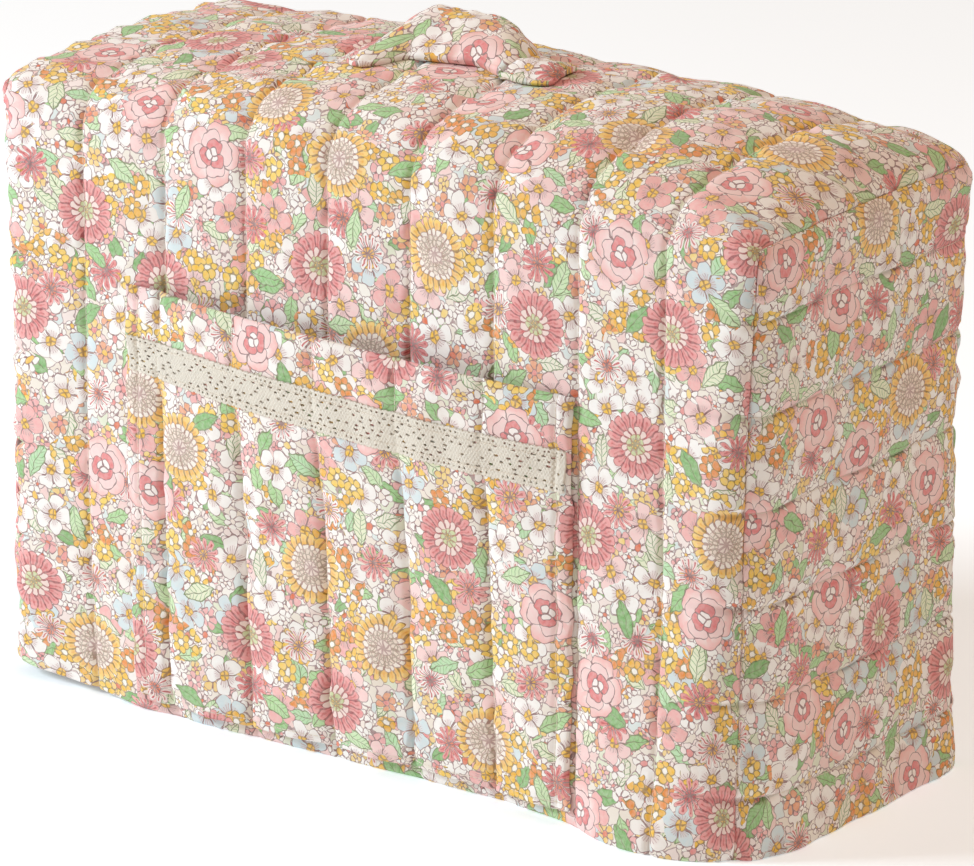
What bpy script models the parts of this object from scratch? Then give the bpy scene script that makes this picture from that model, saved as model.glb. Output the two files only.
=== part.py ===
"""Quilted cotton cover for a sewing machine, in metres, +Z up.

The cover stands on its hem, open underneath, with the front facing -Y. Every piece is cut flat,
given its thickness and then laid on the soft box that the sewn cover makes.
"""

import math

import bmesh
import bpy
from mathutils import Vector

# The plain box that the cover is cut for
WIDTH = 0.440
DEPTH = 0.182
HEIGHT = 0.307
HEM_TO_HEM = 2 * HEIGHT + DEPTH
SEAM_GAP = 0.0012
TOUCH = 0.00035
# Where the middle of the box lies, so that the sewn cover is centred
SET_OVER = 0.0032
SET_BACK = 0.0058

# Quilting: upright channels on the body, level ones on the ends
BODY_CHANNELS = 9
BODY_PITCH = WIDTH / BODY_CHANNELS
END_FIRST_LINE = 0.030
END_PITCH = 0.0475
STITCHED_THICKNESS = 0.0026
WALL_PUFF = 0.0020
TOP_PUFF = 0.0030
INSIDE_PUFF = 0.0010
PUFF_ROUNDNESS = 0.7
SEAM_TAPER = 0.020

# Roundness of the corners and of the folds along the front and back of the top
TOP_CORNER = 0.011
FOLD = 0.022
FOLD_SPREAD = 0.070
HEM_CORNER = 0.018
NEAR_HEM_CORNER = 0.048
CORNER_SPREAD = 1.4
FOLD_FADE = 4
END_FADE = 6
FLARE_HEIGHT = 0.150
BACK_FLARE = 0.3

# Height of the sagging and domed top: x, front fold, ridge, back fold
TOP_HEIGHTS = (
    (-0.220, 0.309, 0.313, 0.3060),
    (-0.171, 0.312, 0.319, 0.3105),
    (-0.110, 0.318, 0.324, 0.3145),
    (-0.049, 0.321, 0.331, 0.3155),
    (0.024, 0.320, 0.333, 0.3130),
    (0.085, 0.317, 0.334, 0.3132),
    (0.147, 0.313, 0.331, 0.3140),
    (0.190, 0.311, 0.323, 0.3125),
    (0.220, 0.308, 0.308, 0.3065),
)
# How far the ends stand out from the box: side, at the hem, halfway up, at the top
END_OUTS = {
    "left": (0.012, 0.003, 0.007),
    "right": (0.004, 0.000, 0.007),
}
# How far the hem stands out in front of the box and how far it lifts: x, out, lift
HEM_OUTS = (
    (-0.220, -0.008, 0.006),
    (-0.170, -0.009, 0.003),
    (-0.140, -0.006, 0.000),
    (0.050, -0.007, 0.000),
    (0.105, -0.003, 0.000),
    (0.150, 0.011, 0.000),
    (0.190, 0.010, 0.000),
    (0.220, 0.008, 0.000),
)

# Pocket
POCKET_LEFT = -0.147
POCKET_RIGHT = 0.121
POCKET_FOOT = 0.007
POCKET_HEM = 0.009
MOUTH_GAPE = 0.0085
GAPE_DEPTH = 0.120
# Height of the pocket's mouth: x, height
MOUTH_HEIGHTS = ((-0.147, 0.221), (-0.060, 0.216), (0.030, 0.214), (0.121, 0.214))

# Lace band: x, height of its middle
LACE_WIDTH = 0.0195
LACE_THICKNESS = 0.0012
LACE_INSET = 0.002
LACE_HEIGHTS = ((-0.147, 0.186), (-0.060, 0.181), (0.040, 0.178), (0.121, 0.177))

# Handle strap on the top
HANDLE_LENGTH = 0.102
HANDLE_WIDTH = 0.038
HANDLE_CENTRE = (-0.004, -0.013)
HANDLE_TURN = math.radians(11)
HANDLE_FOOT = 0.013
HANDLE_PEAK = -0.010
HANDLE_RISE = 0.0105
HANDLE_FULLNESS = 1.3
HANDLE_LEAN = 0.013
HANDLE_ROLL = math.radians(33)
HANDLE_EDGE = 0.0026
HANDLE_PADDING = 0.0040

# Where the grids are cut: distances from a fold, then even steps between
FOLD_STEPS = (0.0, 0.004, 0.010, 0.018, 0.028)
STEPS_PER_CHANNEL = 4
WALL_STEPS = 10
TOP_STEPS = 5
END_HEM_STEPS = 3
POCKET_STEPS = 14
LACE_STEPS = 3
HANDLE_STEPS = (30, 8)
NARROWEST = 0.002
STEP = 0.0005

MATERIALS = {
    "printed_cotton": ((0.86, 0.66, 0.60), 0.9),
    "cotton_lace": ((0.82, 0.72, 0.60), 0.95),
}


def clear_scene():
    for item in list(bpy.data.objects):
        bpy.data.objects.remove(item, do_unlink=True)


def material(name):
    made = bpy.data.materials.get(name)
    if made is None:
        colour, roughness = MATERIALS[name]
        made = bpy.data.materials.new(name)
        made.use_nodes = True
        shader = made.node_tree.nodes["Principled BSDF"]
        shader.inputs["Base Color"].default_value = (*colour, 1)
        shader.inputs["Roughness"].default_value = roughness
        shader.inputs["Metallic"].default_value = 0
        made.diffuse_color = (*colour, 1)
    return made


def clamp(value, limit):
    return max(-limit, min(limit, value))


def ease(value):
    """0 to 1 with a soft start and end."""
    value = max(0.0, min(1.0, value))
    return value * value * (3 - 2 * value)


def spread(low, high, steps):
    return [low + (high - low) * k / steps for k in range(steps + 1)]


def curve(table, at, column=1):
    """Value at one place of the smooth curve through a table's rows."""
    rows = [(row[0], row[column]) for row in table]
    at = max(rows[0][0], min(rows[-1][0], at))
    first = max(k for k in range(len(rows) - 1) if k == 0 or rows[k][0] <= at)
    (a, start), (b, end) = rows[first], rows[first + 1]
    before = rows[max(first - 1, 0)]
    after = rows[min(first + 2, len(rows) - 1)]
    span = b - a
    slope_a = (end - before[1]) / (b - before[0]) * span
    slope_b = (after[1] - start) / (after[0] - a) * span
    t = (at - a) / span
    rising = t * t * (3 - 2 * t)
    return (start + (end - start) * rising
            + slope_a * t * (1 - t) ** 2 - slope_b * t * t * (1 - t))


def top_height(x, y):
    """Height of the domed top over one spot of the plan."""
    across = clamp(2 * y / DEPTH, 1)
    front, ridge, back = (curve(TOP_HEIGHTS, x, column) for column in (1, 2, 3))
    folds = (front + back) / 2 + (back - front) / 2 * across
    return folds + (ridge - (front + back) / 2) * (1 - across * across)


def draped(x, y, z):
    """Where a point of the plain box lies on the soft cover."""
    rise = z / HEIGHT
    low = max(0.0, 1 - rise)
    hem_corner = NEAR_HEM_CORNER if x > 0 > y else HEM_CORNER
    middle = ease((WIDTH / 2 - abs(x)) / FOLD_SPREAD)
    radius = (TOP_CORNER + (hem_corner - TOP_CORNER) * low ** CORNER_SPREAD
              + (FOLD - TOP_CORNER) * middle * rise ** FOLD_FADE)
    core = Vector((clamp(x, WIDTH / 2 - radius), clamp(y, DEPTH / 2 - radius),
                   min(z, HEIGHT - radius)))
    out = Vector((x, y, z)) - core
    if out.length > 0:
        out *= max(abs(part) for part in out) / out.length
    spot = core + out

    spot.z *= top_height(spot.x, spot.y) / HEIGHT
    hem, halfway, top = END_OUTS["right" if spot.x > 0 else "left"]
    out_by = hem * low * (1 - 2 * rise) + halfway * 4 * low * rise + top * rise * (2 * rise - 1)
    spot.x += math.copysign(out_by, spot.x) * (2 * abs(spot.x) / WIDTH) ** END_FADE + SET_OVER
    front_share = 0.5 - clamp(spot.y / DEPTH, 0.5)
    flare = max(0.0, 1 - z / FLARE_HEIGHT) ** 2
    spot.y -= curve(HEM_OUTS, x, 1) * flare * front_share
    spot.y += curve(HEM_OUTS, x, 1) * BACK_FLARE * flare * (1 - front_share) + SET_BACK
    spot.z += max(0.0, curve(HEM_OUTS, x, 2)) * flare * front_share ** 2
    return spot


def body_place(x, run):
    """The body panel: x across, run from the front hem over the top to the back hem."""
    x = clamp(x, WIDTH / 2)
    run = max(0.0, min(HEM_TO_HEM, run))
    if run < HEIGHT:
        return draped(x, -DEPTH / 2, run)
    if run < HEIGHT + DEPTH:
        return draped(x, run - HEIGHT - DEPTH / 2, HEIGHT)
    return draped(x, DEPTH / 2, HEM_TO_HEM - run)


def end_place(side):
    """An end panel: y across and z up, with side 1 on the right and -1 on the left."""
    def place(y, z):
        return draped(side * WIDTH / 2, side * clamp(y, DEPTH / 2),
                      max(0.0, min(HEIGHT, z)))
    return place


def laid(place, u, v):
    """The spot for a flat panel's point, and the way out of the cover there."""
    across = place(u + STEP, v) - place(u - STEP, v)
    along = place(u, v + STEP) - place(u, v - STEP)
    return place(u, v), across.cross(along).normalized()


def channel(position, pitch):
    """Fullness of the wadding: 0 on a line of stitching, 1 midway to the next."""
    return abs(math.sin(math.pi * position / pitch)) ** PUFF_ROUNDNESS


def body_puff(x, run):
    on_top = ease((run - HEIGHT + FOLD) / FOLD) * ease((HEIGHT + DEPTH + FOLD - run) / FOLD)
    hem = 0.5 + 0.5 * ease(min(run, HEM_TO_HEM - run) / SEAM_TAPER)
    height = WALL_PUFF + (TOP_PUFF - WALL_PUFF) * on_top
    return height * hem * channel(x + WIDTH / 2, BODY_PITCH)


def end_puff(y, z):
    seam = min(DEPTH / 2 - abs(y), HEIGHT - z)
    return WALL_PUFF * ease(seam / SEAM_TAPER) * channel(z - END_FIRST_LINE, END_PITCH)


def sheet(name, us, vs, place, slot):
    """A closed piece of cloth: a flat grid with a back, each point then put in its place."""
    bm = bmesh.new()
    bmesh.ops.create_grid(bm, x_segments=len(us) - 1, y_segments=len(vs) - 1, size=0.5)
    face_side = list(bm.verts)
    copied = bmesh.ops.extrude_face_region(bm, geom=bm.faces[:])
    back_side = [item for item in copied["geom"] if isinstance(item, bmesh.types.BMVert)]
    for verts, outside in ((face_side, True), (back_side, False)):
        for vert in verts:
            u = us[round((vert.co.x + 0.5) * (len(us) - 1))]
            v = vs[round((vert.co.y + 0.5) * (len(vs) - 1))]
            vert.co = place(u, v, outside)
    bmesh.ops.recalc_face_normals(bm, faces=bm.faces[:])
    mesh = bpy.data.meshes.new(name)
    bm.to_mesh(mesh)
    bm.free()
    mesh.shade_smooth()
    mesh.materials.append(material(slot))
    made = bpy.data.objects.new(name, mesh)
    bpy.context.scene.collection.objects.link(made)
    return made


def quilted(place, puff):
    """Outside and inside of a quilted panel, with its hem level where it stands."""
    def spot(u, v, outside):
        base, way_out = laid(place, u, v)
        full = puff(u, v)
        if outside:
            moved = base + way_out * full
        else:
            moved = base - way_out * (STITCHED_THICKNESS + full * INSIDE_PUFF / WALL_PUFF)
        if v in (0, HEM_TO_HEM):
            moved.z = base.z
        return moved
    return spot


def from_fold(low, high, steps):
    """Places between two folds, close together beside each."""
    near = [low + step for step in FOLD_STEPS]
    far = [high - step for step in reversed(FOLD_STEPS)]
    return near + spread(near[-1], far[0], steps)[1:-1] + far


def build_body():
    edge = WIDTH / 2 - SEAM_GAP / 2
    inner = spread(-WIDTH / 2, WIDTH / 2, BODY_CHANNELS * STEPS_PER_CHANNEL)[1:-1]
    beside = (edge, edge - FOLD_STEPS[1], edge - 2 * FOLD_STEPS[1])
    xs = [-x for x in beside] + inner + list(reversed(beside))
    wall = spread(0, HEIGHT - FOLD_STEPS[-1], WALL_STEPS)
    wall += [HEIGHT - step for step in reversed(FOLD_STEPS[1:-1])]
    over = [HEIGHT + DEPTH / 2 + y for y in from_fold(-DEPTH / 2, DEPTH / 2, TOP_STEPS)]
    back = [HEM_TO_HEM - run for run in reversed(wall)]
    return sheet("body_panel", xs, wall + over + back, quilted(body_place, body_puff),
                 "printed_cotton")


def build_end(name, side):
    ys = from_fold(-DEPTH / 2, DEPTH / 2, TOP_STEPS)
    ys[0] += SEAM_GAP / 2
    ys[-1] -= SEAM_GAP / 2
    lines = int((HEIGHT - FOLD_STEPS[-1] - END_FIRST_LINE) / END_PITCH)
    last_line = END_FIRST_LINE + lines * END_PITCH
    zs = spread(0, END_FIRST_LINE, END_HEM_STEPS)
    zs += spread(END_FIRST_LINE, last_line, lines * STEPS_PER_CHANNEL)[1:]
    zs += [HEIGHT - step for step in reversed(FOLD_STEPS[1:])] + [HEIGHT - SEAM_GAP / 2]
    return sheet(name, ys, zs, quilted(end_place(side), end_puff), "printed_cotton")


def pocket_gape(x, z):
    """How far the pocket stands off the front: most at the middle of its mouth."""
    across = (x - POCKET_LEFT) / (POCKET_RIGHT - POCKET_LEFT)
    depth = curve(MOUTH_HEIGHTS, x) - z
    width_share = ease(4 * across * (1 - across))
    return MOUTH_GAPE * width_share * ease(1 - depth / GAPE_DEPTH)


def pocket_spot(x, share, outside, proud=0.0):
    """Point of the pocket at x, with share 0 at its foot and 1 at its mouth."""
    z = POCKET_FOOT + (curve(MOUTH_HEIGHTS, x) - POCKET_FOOT) * share
    return pocket_at(x, z, outside, proud)


def pocket_at(x, z, outside, proud=0.0):
    base, way_out = laid(body_place, x, z)
    off = body_puff(x, z) + TOUCH + pocket_gape(x, z)
    if outside:
        edge = min(x - POCKET_LEFT, POCKET_RIGHT - x, curve(MOUTH_HEIGHTS, x) - z)
        full = ease(edge / POCKET_HEM) * channel(x + WIDTH / 2, BODY_PITCH)
        off += STITCHED_THICKNESS + WALL_PUFF * full + proud
    return base + way_out * off


def pocket_columns(left, right):
    grid = spread(-WIDTH / 2, WIDTH / 2, BODY_CHANNELS * STEPS_PER_CHANNEL)
    return [left] + [x for x in grid if left + NARROWEST < x < right - NARROWEST] + [right]


def build_pocket():
    return sheet("pocket", pocket_columns(POCKET_LEFT, POCKET_RIGHT),
                 spread(0, 1, POCKET_STEPS), pocket_spot, "printed_cotton")


def build_lace():
    def spot(x, across, outside):
        z = curve(LACE_HEIGHTS, x) + across * LACE_WIDTH / 2
        proud = TOUCH + (LACE_THICKNESS if outside else 0.0)
        return pocket_at(x, z, True, proud)
    columns = pocket_columns(POCKET_LEFT + LACE_INSET, POCKET_RIGHT - LACE_INSET)
    return sheet("lace_band", columns, spread(-1, 1, LACE_STEPS), spot, "cotton_lace")


def handle_arch(s):
    """Share of the full rise at s along the strap: 0 at its feet and 1 at its peak."""
    free = HANDLE_LENGTH / 2 - HANDLE_FOOT
    span = free - HANDLE_PEAK if s > HANDLE_PEAK else free + HANDLE_PEAK
    return ease(HANDLE_FULLNESS * (1 - abs(s - HANDLE_PEAK) / span))


def handle_under(s, t):
    """The strap's underside, s along it and t across it."""
    arch = handle_arch(s)
    roll = HANDLE_ROLL * arch
    aside = HANDLE_LEAN * arch + t * math.cos(roll)
    x = HANDLE_CENTRE[0] + s * math.cos(HANDLE_TURN) - aside * math.sin(HANDLE_TURN)
    y = HANDLE_CENTRE[1] + s * math.sin(HANDLE_TURN) + aside * math.cos(HANDLE_TURN)
    run = HEIGHT + DEPTH / 2 + y
    base, way_out = laid(body_place, x, run)
    off = TOUCH + body_puff(x, run) * (1 - arch) + TOP_PUFF * arch
    return base + way_out * off + Vector((0, 0, HANDLE_RISE * arch + t * math.sin(roll)))


def build_handle():
    def spot(s, t, outside):
        under, way_out = laid(handle_under, s, t)
        if outside:
            full = 1 - (2 * t / HANDLE_WIDTH) ** 2
            return under + way_out * (HANDLE_EDGE + HANDLE_PADDING * full)
        return under
    along, across = HANDLE_STEPS
    return sheet("handle", spread(-HANDLE_LENGTH / 2, HANDLE_LENGTH / 2, along),
                 spread(-HANDLE_WIDTH / 2, HANDLE_WIDTH / 2, across), spot, "printed_cotton")


clear_scene()
build_body()
build_end("end_panel_right", 1)
build_end("end_panel_left", -1)
build_pocket()
build_lace()
build_handle()
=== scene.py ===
"""Looks of the quilted sewing machine cover, in metres, +Z up, with the front facing -Y."""
import math

import bmesh
import bpy
import numpy as np
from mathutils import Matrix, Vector


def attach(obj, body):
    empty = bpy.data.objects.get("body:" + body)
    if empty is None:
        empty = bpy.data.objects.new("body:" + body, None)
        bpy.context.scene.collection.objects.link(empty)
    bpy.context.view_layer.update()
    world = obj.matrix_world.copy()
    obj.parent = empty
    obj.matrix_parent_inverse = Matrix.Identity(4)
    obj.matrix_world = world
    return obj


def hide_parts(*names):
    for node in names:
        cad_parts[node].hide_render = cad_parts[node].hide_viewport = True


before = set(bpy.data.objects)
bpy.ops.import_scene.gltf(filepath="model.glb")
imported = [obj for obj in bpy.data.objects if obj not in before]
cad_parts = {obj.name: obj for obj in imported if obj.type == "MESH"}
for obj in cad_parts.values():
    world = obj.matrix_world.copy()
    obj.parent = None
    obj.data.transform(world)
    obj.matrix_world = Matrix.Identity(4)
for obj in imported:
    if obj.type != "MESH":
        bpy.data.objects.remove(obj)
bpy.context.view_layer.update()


# Printed cotton. Every panel is cut from the same cloth: a plain weave in cream, printed all
# over with ordinary garden flowers and leaves that are filled with flat dyes inside a soft
# mauve outline.

INK = "8C6867"
LINE = 0.45
WEAVE = 0.42


def dye(code):
    """A dye's colour from its six-figure colour code, as the shader wants it."""
    parts = [int(code[k:k + 2], 16) / 255 for k in (0, 2, 4)]
    return (*(part ** 2.2 for part in parts), 1)


class Pattern:
    """A value that varies over a piece, written in plain maths."""

    def __init__(self, tree, socket=None):
        self.tree = tree
        self.socket = socket

    def node(self, kind, settings=None, inputs=None, out=0):
        """Any node, from its type, its settings, and the values or links of its sockets."""
        made = self.tree.nodes.new(kind)
        for key, value in (settings or {}).items():
            setattr(made, key, value)
        for key, value in (inputs or {}).items():
            if isinstance(value, Pattern):
                self.tree.links.new(value.socket, made.inputs[key])
            else:
                made.inputs[key].default_value = value
        return Pattern(self.tree, made.outputs[out])

    def out(self, name):
        """Another output of the node that this value comes from."""
        return Pattern(self.tree, self.socket.node.outputs[name])

    def maths(self, operation, *values):
        return self.node("ShaderNodeMath", {"operation": operation}, dict(enumerate(values)))

    def vector(self, operation, *values, out=0):
        return self.node("ShaderNodeVectorMath", {"operation": operation},
                         dict(enumerate(values)), out)

    def __add__(self, other):
        return self.maths("ADD", self, other)

    def __radd__(self, other):
        return self.maths("ADD", other, self)

    def __sub__(self, other):
        return self.maths("SUBTRACT", self, other)

    def __rsub__(self, other):
        return self.maths("SUBTRACT", other, self)

    def __mul__(self, other):
        return self.maths("MULTIPLY", self, other)

    def __rmul__(self, other):
        return self.maths("MULTIPLY", other, self)

    def __truediv__(self, other):
        return self.maths("DIVIDE", self, other)

    def __rtruediv__(self, other):
        return self.maths("DIVIDE", other, self)

    def __pow__(self, other):
        return self.maths("POWER", self, other)

    def __abs__(self):
        return self.maths("ABSOLUTE", self)

    def __lt__(self, other):
        return self.maths("LESS_THAN", self, other)

    def __gt__(self, other):
        return self.maths("GREATER_THAN", self, other)

    def least(self, other):
        return self.maths("MINIMUM", self, other)

    def sine(self):
        return self.maths("SINE", self)

    def cosine(self):
        return self.maths("COSINE", self)

    def fraction(self):
        return self.maths("FRACT", self)

    def over(self, under, colour):
        """A colour laid over another by this share, from 0 to 1."""
        return self.node("ShaderNodeMix", {"data_type": "RGBA"},
                         {0: self, 6: under, 7: colour}, 2)


def new_material(name, roughness, sheen):
    """A matte cloth: its material, its shader and the start of its pattern."""
    made = bpy.data.materials.new(name)
    made.use_nodes = True
    shader = made.node_tree.nodes["Principled BSDF"]
    shader.inputs["Roughness"].default_value = roughness
    shader.inputs["Specular IOR Level"].default_value = 0.2
    shader.inputs["Sheen Weight"].default_value = sheen
    shader.inputs["Sheen Roughness"].default_value = 0.6
    return made, shader, Pattern(made.node_tree)


def scattered(cloth, pitch, uneven, shift, turn):
    """Motifs at one pitch: the way out from the nearest, the bearing, the place and its lots."""
    place = cloth.node("ShaderNodeMapping", None,
                       {"Vector": cloth, "Location": (shift, 1.7 * shift, 0),
                        "Rotation": (0, 0, math.radians(turn))})
    nearest = cloth.node("ShaderNodeTexVoronoi", {"voronoi_dimensions": "2D"},
                         {"Vector": place, "Scale": 1 / pitch, "Randomness": uneven})
    aside = cloth.vector("SUBTRACT", place, nearest.out("Position"))
    spot = cloth.node("ShaderNodeSeparateXYZ", None, {0: aside})
    lots = cloth.node("ShaderNodeSeparateColor", None, {0: nearest.out("Color")})
    across, along = spot.out("X"), spot.out("Y")
    turned, dyed, eyed = (lots.out(name) for name in ("Red", "Green", "Blue"))
    way = cloth.vector("LENGTH", aside, out=1)
    bearing = cloth.maths("ARCTAN2", along, across) + turned * math.tau
    return way, bearing, (across, along), (turned, dyed, eyed)


def petals(way, bearing, number, reach, notch, line=LINE):
    """A ring of petals: where it lies, where its ink is, and how far off each petal's middle."""
    side = abs((bearing * (number / math.tau)).fraction() * 2 - 1)
    rim = reach * (1 - side ** 3 * notch)
    between = (1 - side) * way * (math.pi / number)
    return way < rim, (rim - way).least(between) < line, side


def ring(under, ink, way, bearing, number, reach, notch, colour, line=LINE):
    """One ring of petals laid over what is under it."""
    inside, edge, _ = petals(way, bearing, number, reach, notch, line)
    return (inside * edge).over(inside.over(under, colour), ink)


def disc(under, ink, way, reach, colour, line=LINE):
    """A round centre with its outline."""
    inside = way < reach
    return (inside * (way > reach - line)).over(inside.over(under, colour), ink)


def beads(way, bearing, number, radius):
    """How far each point lies from the nearest of some spots evenly round a ring."""
    turn = ((bearing * (number / math.tau)).fraction() - 0.5) * (math.tau / number)
    aside, out = way * turn.sine(), way * turn.cosine() - radius
    return (aside * aside + out * out) ** 0.5


def pick(lot, *dyes):
    """One of several dyes, each for an even share of the motifs."""
    chosen = dye(dyes[0])
    for k, code in enumerate(dyes[1:], 1):
        chosen = (lot > k / len(dyes)).over(chosen, dye(code))
    return chosen


def print_ground(cloth, pitch, line):
    """Cream ground covered with small pale petals drawn in outline."""
    spread = {"Vector": cloth, "Scale": 1 / pitch, "Randomness": 0.95}
    far = cloth.node("ShaderNodeTexVoronoi",
                     {"voronoi_dimensions": "2D", "feature": "DISTANCE_TO_EDGE"}, spread)
    near = cloth.node("ShaderNodeTexVoronoi", {"voronoi_dimensions": "2D"}, spread)
    lot = cloth.node("ShaderNodeSeparateColor", None, {0: near.out("Color")})
    fill = pick(lot.out("Red"), "EDE3D4", "F6F0E8", "EBDFCF", "F1E0D8", "F4EDE2", "D9E2DE",
                "EEE4D6", "EFCDC6", "F7F2EA", "DFE2C8")
    return (far * pitch < line).over(fill, dye("A58A87"))


def print_leaves(under, cloth, pitch, shift, length, width):
    """Leaves with a midrib and veins, some of them only in outline."""
    _, _, (across, along), (turned, dyed, _) = scattered(cloth, pitch, 0.8, shift, turn=23)
    turn = turned * math.tau
    cosine, sine = turn.cosine(), turn.sine()
    lengthways = across * cosine + along * sine
    sideways = abs(along * cosine - across * sine)
    share = lengthways / length
    half = (1 - share * share) * width
    inside = sideways < half
    veins = ((lengthways + sideways * 0.9) / 2.6).fraction() < 0.16
    green = pick(dyed, "AFD597", "96C682", "C9E1B1", "ECE7D3", "83B671", "E4E8C6", "B5DAAA")
    leaf = inside.over(under, green)
    leaf = (inside * veins * (sideways > 0.5)).over(leaf, dye("7BA563"))
    rim = (half - sideways < 0.6) + (sideways < 0.24)
    return (inside * (rim > 0.5)).over(leaf, dye("748355"))


def print_small(under, cloth, pitch, shift, reach, number, dyes):
    """Small flowers of a few round petals, each with a dot in its middle."""
    way, bearing, _, (_, dyed, eyed) = scattered(cloth, pitch, 0.85, shift, turn=41)
    flower = ring(under, dye(INK), way, bearing, number, reach, notch=0.42,
                  colour=pick(dyed, *dyes), line=0.38)
    return disc(flower, dye(INK), way, reach * 0.34,
                pick(eyed, "F0BE48", "F3E6DA", "DF7350", "E58F8A", "F0D07A"), line=0.34)


def print_clusters(under, cloth, pitch, shift, patch, radius, bead):
    """Patches of round golden florets, six about each pale middle."""
    way, bearing, _, (_, _, eyed) = scattered(cloth, pitch, 0.4, shift, turn=12)
    patches = cloth.node("ShaderNodeTexNoise", {"noise_dimensions": "2D"},
                         {"Vector": cloth, "Scale": 1 / patch, "Detail": 0.0})
    shown = patches > 0.61
    off = beads(way, bearing, 6, radius)
    gold = pick(eyed, "F2BE42", "F5CC5A", "EDB23C", "F3C64C", "E68C40")
    floret = ((off < bead) * shown).over(under, gold)
    floret = ((abs(off - (bead - 0.2)) < 0.24) * shown).over(floret, dye("97793A"))
    outside = way + (1 - shown) * 9
    return disc(floret, dye("A09068"), outside, 1.75, dye("F7F1E6"), line=0.3)


def print_sprays(under, cloth, pitch, shift, reach):
    """Spidery flowers of long thin petals, white or dusty pink."""
    way, bearing, _, (_, dyed, eyed) = scattered(cloth, pitch, 0.7, shift, turn=52)
    petal = pick(dyed, "F1DFD8", "E08583", "F6EDE6", "EBA39F")
    inside, edge, side = petals(way, bearing, 12, reach, notch=0.75, line=0.4)
    flower = inside.over(under, petal)
    flower = (inside * (side < 0.22) * (way < reach * 0.8)).over(flower, dye("C75F60"))
    flower = (inside * edge).over(flower, dye(INK))
    return ring(flower, dye(INK), way, bearing + 0.2, 8, reach * 0.34, notch=0.3,
                colour=pick(eyed, "CC6264", "E07C5E", "E6AE4C"), line=0.34)


def print_medium(under, cloth, pitch, shift, reach):
    """Open flowers of five broad petals in white, pale blue and blush, with a golden eye."""
    way, bearing, _, (_, dyed, _) = scattered(cloth, pitch, 0.7, shift, turn=67)
    petal = pick(dyed, "F7F2EC", "D2DFE0", "F4CDC8", "F7F3ED", "EEAFAA", "F4EDE5", "F7F2EC")
    inside, edge, side = petals(way, bearing, 5, reach, notch=0.5)
    flower = inside.over(under, petal)
    shade = (0.62 - way / reach) * 1.5 * (side < 0.55)
    flower = (inside * shade).over(flower, dye("C9A5A2"))
    streaks = (bearing * (25 / math.tau)).fraction() < 0.2
    flower = (inside * streaks * (way < reach * 0.52)).over(flower, dye("B78F8E"))
    flower = (inside * edge).over(flower, dye(INK))
    return ring(flower, dye("A97F3E"), way, bearing, 4, reach * 0.27, notch=0.16,
                colour=dye("F2BF3E"))


def print_blooms(under, cloth, fine, pitch, shift):
    """Large blooms: golden ring daisies, dusty pink daisies, and full pink roses."""
    way, bearing, _, (_, kind, _) = scattered(cloth, pitch, 0.55, shift, turn=31)
    pink, full = (kind > 0.26) * (kind < 0.62), kind > 0.62

    def kinds(golden, pinks, fulls):
        """The golden daisy's, the pink daisy's and the rose's own dye or number."""
        if isinstance(golden, str):
            return full.over(pink.over(dye(golden), dye(pinks)), dye(fulls))
        return golden + pink * (pinks - golden) + full * (fulls - golden)

    outer = kinds(17.6, 16.4, 15.5)
    inside, edge, side = petals(way, bearing, kinds(25, 20, 5), outer,
                                notch=kinds(0.17, 0.12, 0.24))
    bloom = inside.over(under, kinds("F6CE70", "E99B98", "F3B6B0"))
    bloom = (inside * (outer * 0.93 - way) * 0.16).over(bloom, kinds("EBAA52", "DA8381", "F9E7E1"))
    bloom = (inside * (side < 0.2) * (way < outer * 0.85)).over(
        bloom, kinds("EDB04C", "CF6C6C", "F5C4BE"))
    bloom = (inside * edge).over(bloom, kinds("9C7636", "A35758", INK))
    bloom = ring(bloom, kinds("A98478", "A35758", INK), way, bearing + 0.3,
                 number=kinds(22, 13, 4), reach=kinds(12.2, 9.0, 11.4),
                 notch=kinds(0.1, 0.24, 0.3), colour=kinds("F4E9DC", "F0D6CC", "F3CFCA"))
    bloom = ring(bloom, kinds("BA9A8C", "A97F5E", INK), way, bearing,
                 number=kinds(16, 8, 3), reach=kinds(9.6, 5.2, 7.6),
                 notch=kinds(0.1, 0.2, 0.3), colour=kinds("E9D8C8", "C6CE98", "E07E7E"))
    grain = 2.1
    grains = cloth.node("ShaderNodeTexVoronoi",
                        {"voronoi_dimensions": "2D", "feature": "DISTANCE_TO_EDGE"},
                        {"Vector": fine, "Scale": 1 / grain})
    seeded = (way < kinds(8.9, 3.2, 0.0)) * (grains * grain < 0.22)
    bloom = seeded.over(bloom, dye("AA9680"))
    return ring(bloom, kinds("B9978F", "9C8C62", INK), way, bearing + 0.2,
                number=kinds(8, 6, 3), reach=kinds(4.1, 2.2, 4.0),
                notch=kinds(0.15, 0.15, 0.3), colour=kinds("EBDACE", "E5B85C", "F7ECE6"))


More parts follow.
